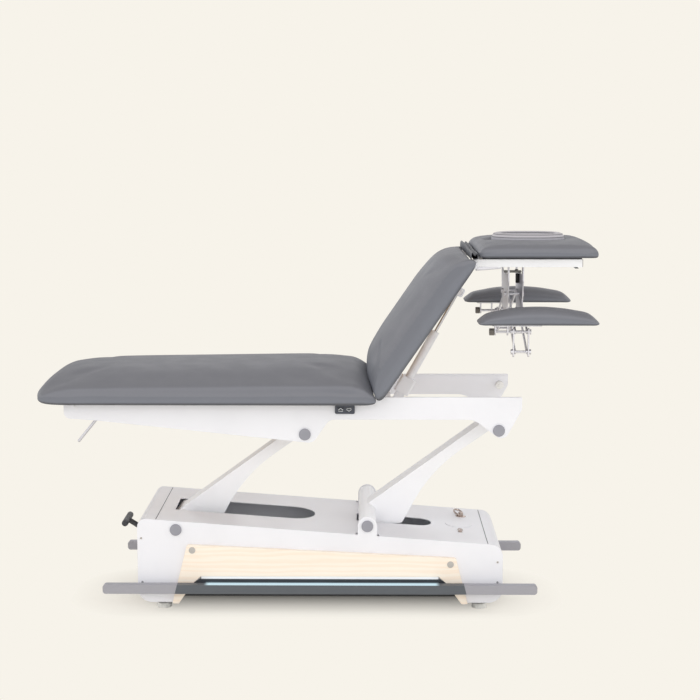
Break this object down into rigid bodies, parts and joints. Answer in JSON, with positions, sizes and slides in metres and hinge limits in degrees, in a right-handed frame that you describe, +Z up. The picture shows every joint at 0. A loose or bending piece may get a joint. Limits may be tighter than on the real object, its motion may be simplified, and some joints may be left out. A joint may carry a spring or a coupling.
{
  "type": "physiotherapy table",
  "caption": "Electric treatment table on two parallel lift arms, with raised back section, tilting head section with face opening, and two adjustable arm rests.",
  "frame": {"origin": "on the floor, under the centre of the table's bounding box", "axes": "+X towards the head end, +Z up, the control box and foot lever on the -Y side"},
  "size_m": [1.7544, 0.824, 1.2007],
  "materials": {
    "black_paint": "satin",
    "bush": "plain",
    "clear_rubber": "translucent",
    "cover_paint": "satin",
    "dark_plastic": "matt",
    "grey_leather": "grey imitation leather, semi-matt",
    "grey_plastic": "matt",
    "key_plastic": "matt",
    "light_strip": "translucent, lit",
    "plywood": "plain plywood",
    "ring_leather": "light grey imitation leather",
    "steel": "brushed",
    "strut_paint": "satin",
    "white_paint": "satin",
    "wood_board": "light varnished"
  },
  "bodies": {
    "base": {"base_side_near": "white_paint", "base_side_far": "white_paint", "base_top_cover": "cover_paint", "base_end_foot": "cover_paint", "base_end_head": "cover_paint", "base_chassis": "cover_paint", "service_cover": "cover_paint", "wood_panel_near": "wood_board", "wood_panel_far": "wood_board", "led_strips": "light_strip", "levelling_feet": "clear_rubber", "lower_shafts": "steel", "lower_caps": "grey_plastic", "lift_motor": "black_paint"},
    "lift_push_rod": {"lift_rod": "steel"},
    "foot_lift_arm": {"foot_arm": "white_paint", "foot_arm_bushes": "bush"},
    "head_lift_arm": {"head_arm": "white_paint", "head_arm_bushes": "bush"},
    "upper_frame": {"frame_side_near": "white_paint", "frame_side_far": "white_paint", "frame_cross_members": "white_paint", "leg_board": "plywood", "leg_pad": "grey_leather", "upper_shafts": "steel", "upper_caps": "grey_plastic", "back_hinge_pins": "steel", "rest_buffers": "clear_rubber", "control_box": "key_plastic"},
    "up_key": {"up_button": "dark_plastic"},
    "down_key": {"down_button": "dark_plastic"},
    "frame_lever": {"foot_lever": "steel"},
    "back_section": {"back_frame": "white_paint", "back_board": "plywood", "back_pad": "grey_leather", "head_hinge_bolts": "steel"},
    "strut_tube": {"strut_cylinder": "strut_paint"},
    "strut_piston": {"strut_rod": "steel"},
    "head_section": {"head_frame": "white_paint", "head_board": "plywood", "head_pad": "grey_leather", "face_cushion": "ring_leather", "head_strap": "grey_leather", "armrest_hangers": "white_paint", "hanger_pins": "steel"},
    "bar_near": {"foot_bar_near": "dark_plastic"},
    "bar_far": {"foot_bar_far": "dark_plastic"},
    "pedal_lever": {"pedal": "dark_plastic"},
    "upper_link_near": {"armrest_upper_link_near": "steel"},
    "lower_link_near": {"armrest_lower_link_near": "steel"},
    "carrier_near": {"armrest_carrier_near": "steel"},
    "armrest_near": {"armrest_base_near": "steel", "armrest_pad_near": "grey_leather"},
    "knob_near": {"tilt_knob_near": "dark_plastic"},
    "upper_link_far": {"armrest_upper_link_far": "steel"},
    "lower_link_far": {"armrest_lower_link_far": "steel"},
    "carrier_far": {"armrest_carrier_far": "steel"},
    "armrest_far": {"armrest_base_far": "steel", "armrest_pad_far": "grey_leather"},
    "knob_far": {"tilt_knob_far": "dark_plastic"}
  },
  "joints": [
    {"name": "lift", "type": "hinge", "parent": "base", "child": "foot_lift_arm", "pos_m": [-0.44614, 0, 0.2694], "axis": [0, -1, 0], "range_deg": [-32.07, 36.93]},
    {"name": "head_arm_swing", "type": "hinge", "parent": "base", "child": "head_lift_arm", "pos_m": [0.16286, 0, 0.2824], "axis": [0, -1, 0], "range_deg": [-32.07, 36.93]},
    {"name": "frame_level", "type": "hinge", "parent": "foot_lift_arm", "child": "upper_frame", "pos_m": [-0.0341, 0, 0.58068], "axis": [0, -1, 0], "range_deg": [-36.93, 32.07]},
    {"name": "lift_rod_slide", "type": "slide", "parent": "base", "child": "lift_push_rod", "axis": [1, 0, 0], "range_m": [-0.0552, 0.0636]},
    {"name": "back_tilt", "type": "hinge", "parent": "upper_frame", "child": "back_section", "pos_m": [0.19386, 0, 0.69], "axis": [0, -1, 0], "range_deg": [-55.5, 9.5]},
    {"name": "strut_swing", "type": "hinge", "parent": "upper_frame", "child": "strut_tube", "pos_m": [0.25586, 0, 0.645], "axis": [0, -1, 0], "range_deg": [-58.84, 10.08]},
    {"name": "strut_slide", "type": "slide", "parent": "strut_tube", "child": "strut_piston", "axis": [0.4885, 0, 0.8726], "range_m": [-0.0678, 0.0117]},
    {"name": "head_tilt", "type": "hinge", "parent": "back_section", "child": "head_section", "pos_m": [0.49164, 0, 1.11268], "axis": [0, 1, 0], "range_deg": [-55.5, 30], "deforming": ["head_strap"]},
    {"name": "armrest_raise_near", "type": "hinge", "parent": "head_section", "child": "upper_link_near", "pos_m": [0.60964, -0.06, 1.00568], "axis": [-1, 0, 0], "range_deg": [-7.6, 31]},
    {"name": "lower_link_swing_near", "type": "hinge", "parent": "head_section", "child": "lower_link_near", "pos_m": [0.60964, -0.06, 0.94368], "axis": [-1, 0, 0], "range_deg": [-7.6, 31]},
    {"name": "carrier_level_near", "type": "hinge", "parent": "upper_link_near", "child": "carrier_near", "pos_m": [0.60964, -0.31, 0.91268], "axis": [-1, 0, 0], "range_deg": [-31, 7.6]},
    {"name": "armrest_tilt_near", "type": "hinge", "parent": "carrier_near", "child": "armrest_near", "pos_m": [0.55264, -0.31, 0.91268], "axis": [1, 0, 0], "range_deg": [-5, 25]},
    {"name": "knob_turn_near", "type": "hinge", "parent": "carrier_near", "child": "knob_near", "pos_m": [0.54164, -0.31, 0.91268], "axis": [1, 0, 0], "range_deg": [-180, 180]},
    {"name": "armrest_raise_far", "type": "hinge", "parent": "head_section", "child": "upper_link_far", "pos_m": [0.60964, 0.06, 1.00568], "axis": [1, 0, 0], "range_deg": [-7.6, 31]},
    {"name": "lower_link_swing_far", "type": "hinge", "parent": "head_section", "child": "lower_link_far", "pos_m": [0.60964, 0.06, 0.94368], "axis": [1, 0, 0], "range_deg": [-7.6, 31]},
    {"name": "carrier_level_far", "type": "hinge", "parent": "upper_link_far", "child": "carrier_far", "pos_m": [0.60964, 0.31, 0.91268], "axis": [1, 0, 0], "range_deg": [-31, 7.6]},
    {"name": "armrest_tilt_far", "type": "hinge", "parent": "carrier_far", "child": "armrest_far", "pos_m": [0.55264, 0.31, 0.91268], "axis": [-1, 0, 0], "range_deg": [-5, 25]},
    {"name": "knob_turn_far", "type": "hinge", "parent": "carrier_far", "child": "knob_far", "pos_m": [0.54164, 0.31, 0.91268], "axis": [1, 0, 0], "range_deg": [-180, 180]},
    {"name": "foot_bar_near_rock", "type": "hinge", "parent": "base", "child": "bar_near", "pos_m": [0, -0.2, 0.0875], "axis": [1, 0, 0], "range_deg": [-4, 4], "stiffness_Nm_per_rad": 60, "springref_deg": -1.15},
    {"name": "foot_bar_far_rock", "type": "hinge", "parent": "base", "child": "bar_far", "pos_m": [0, 0.2, 0.0875], "axis": [-1, 0, 0], "range_deg": [-4, 4], "stiffness_Nm_per_rad": 60, "springref_deg": -1.15},
    {"name": "pedal_press", "type": "hinge", "parent": "base", "child": "pedal_lever", "pos_m": [-0.54614, 0, 0.19], "axis": [0, -1, 0], "range_deg": [0, 24], "stiffness_Nm_per_rad": 4, "springref_deg": -20.05},
    {"name": "foot_lever_pull", "type": "hinge", "parent": "upper_frame", "child": "frame_lever", "pos_m": [-0.67514, -0.202, 0.646], "axis": [0, -1, 0], "range_deg": [0, 20], "stiffness_Nm_per_rad": 0.6, "springref_deg": -28.65},
    {"name": "up_button_press", "type": "slide", "parent": "upper_frame", "child": "up_key", "axis": [0, 1, 0], "range_m": [0, 0.001], "stiffness_N_per_m": 300, "springref_m": -0.002},
    {"name": "down_button_press", "type": "slide", "parent": "upper_frame", "child": "down_key", "axis": [0, 1, 0], "range_m": [0, 0.001], "stiffness_N_per_m": 300, "springref_m": -0.002}
  ],
  "couplings": [
    {"joint": "head_arm_swing", "follows": "lift", "ratio": 1},
    {"joint": "frame_level", "follows": "lift", "ratio": -1},
    {"joint": "lift_rod_slide", "follows": "lift", "m_per_rad": 0.0985},
    {"joint": "strut_swing", "follows": "back_tilt", "ratio": 1.06},
    {"joint": "strut_slide", "follows": "back_tilt", "m_per_rad": 0.0699},
    {"joint": "lower_link_swing_near", "follows": "armrest_raise_near", "ratio": 1},
    {"joint": "carrier_level_near", "follows": "armrest_raise_near", "ratio": -1},
    {"joint": "lower_link_swing_far", "follows": "armrest_raise_far", "ratio": 1},
    {"joint": "carrier_level_far", "follows": "armrest_raise_far", "ratio": -1}
  ]
}
